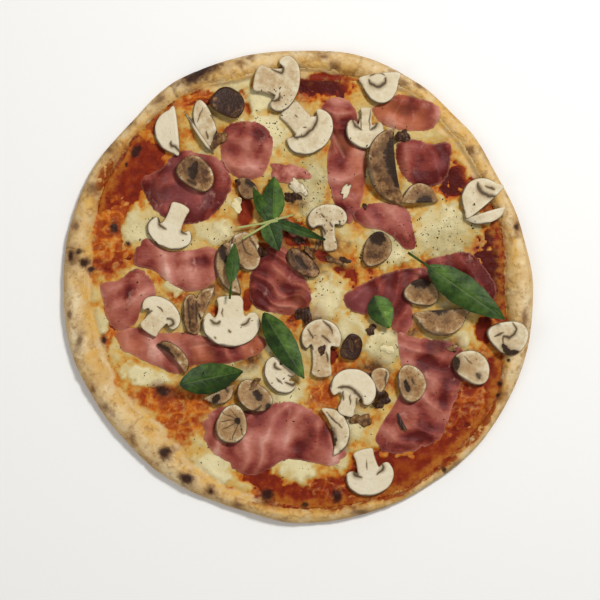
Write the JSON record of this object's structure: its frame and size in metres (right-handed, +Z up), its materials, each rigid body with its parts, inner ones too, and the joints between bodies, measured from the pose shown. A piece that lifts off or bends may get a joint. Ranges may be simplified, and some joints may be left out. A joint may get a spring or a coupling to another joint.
{
  "type": "ham and mushroom pizza",
  "caption": "Round flat pizza with an uneven baked rim, tomato sauce, melted cheese, folded ham, sliced mushrooms and basil leaves.",
  "frame": {"origin": "middle of the flat underside, on the surface that the pizza lies on", "axes": "+Z up, +Y towards the top of the pizza as seen from above in the picture, +X to its right"},
  "size_m": [0.3207, 0.3228, 0.0236],
  "materials": {
    "crust": "matt baked dough",
    "sauce": "wet, glossy",
    "cheese": "oily satin",
    "ham": "moist satin",
    "mushroom": "matt",
    "mushroom_cooked": "moist satin",
    "basil": "satin leaf"
  },
  "bodies": {
    "root": {"basil_leaf_01": "basil", "basil_leaf_02": "basil", "basil_leaf_03": "basil", "basil_leaf_04": "basil", "basil_leaf_05": "basil", "basil_sprig": "basil", "dough": "crust", "ham_slice_01": "ham", "ham_slice_02": "ham", "ham_slice_03": "ham", "ham_slice_04": "ham", "ham_slice_05": "ham", "ham_slice_06": "ham", "ham_slice_07": "ham", "ham_slice_08": "ham", "ham_slice_09": "ham", "ham_slice_10": "ham", "ham_slice_11": "ham", "ham_slice_12": "ham", "ham_slice_13": "ham", "ham_slice_14": "ham", "melted_cheese": "cheese", "mushroom_slice_01": "mushroom", "mushroom_slice_02": "mushroom_cooked", "mushroom_slice_03": "mushroom", "mushroom_slice_04": "mushroom", "mushroom_slice_05": "mushroom", "mushroom_slice_06": "mushroom", "mushroom_slice_07": "mushroom", "mushroom_slice_08": "mushroom_cooked", "mushroom_slice_09": "mushroom_cooked", "mushroom_slice_10": "mushroom", "mushroom_slice_11": "mushroom", "mushroom_slice_12": "mushroom_cooked", "mushroom_slice_13": "mushroom_cooked", "mushroom_slice_14": "mushroom", "mushroom_slice_15": "mushroom_cooked", "mushroom_slice_16": "mushroom", "mushroom_slice_17": "mushroom_cooked", "mushroom_slice_18": "mushroom_cooked", "mushroom_slice_19": "mushroom_cooked", "mushroom_slice_20": "mushroom", "mushroom_slice_21": "mushroom", "mushroom_slice_22": "mushroom_cooked", "mushroom_slice_23": "mushroom_cooked", "mushroom_slice_24": "mushroom_cooked", "mushroom_slice_25": "mushroom_cooked", "mushroom_slice_26": "mushroom", "mushroom_slice_27": "mushroom", "mushroom_slice_28": "mushroom_cooked", "mushroom_slice_29": "mushroom", "mushroom_slice_30": "mushroom_cooked", "mushroom_slice_31": "mushroom", "mushroom_slice_32": "mushroom", "mushroom_slice_33": "mushroom", "mushroom_slice_34": "mushroom_cooked", "mushroom_slice_35": "mushroom_cooked", "mushroom_slice_36": "mushroom", "mushroom_slice_37": "mushroom_cooked", "tomato_sauce": "sauce"}
  },
  "joints": []
}
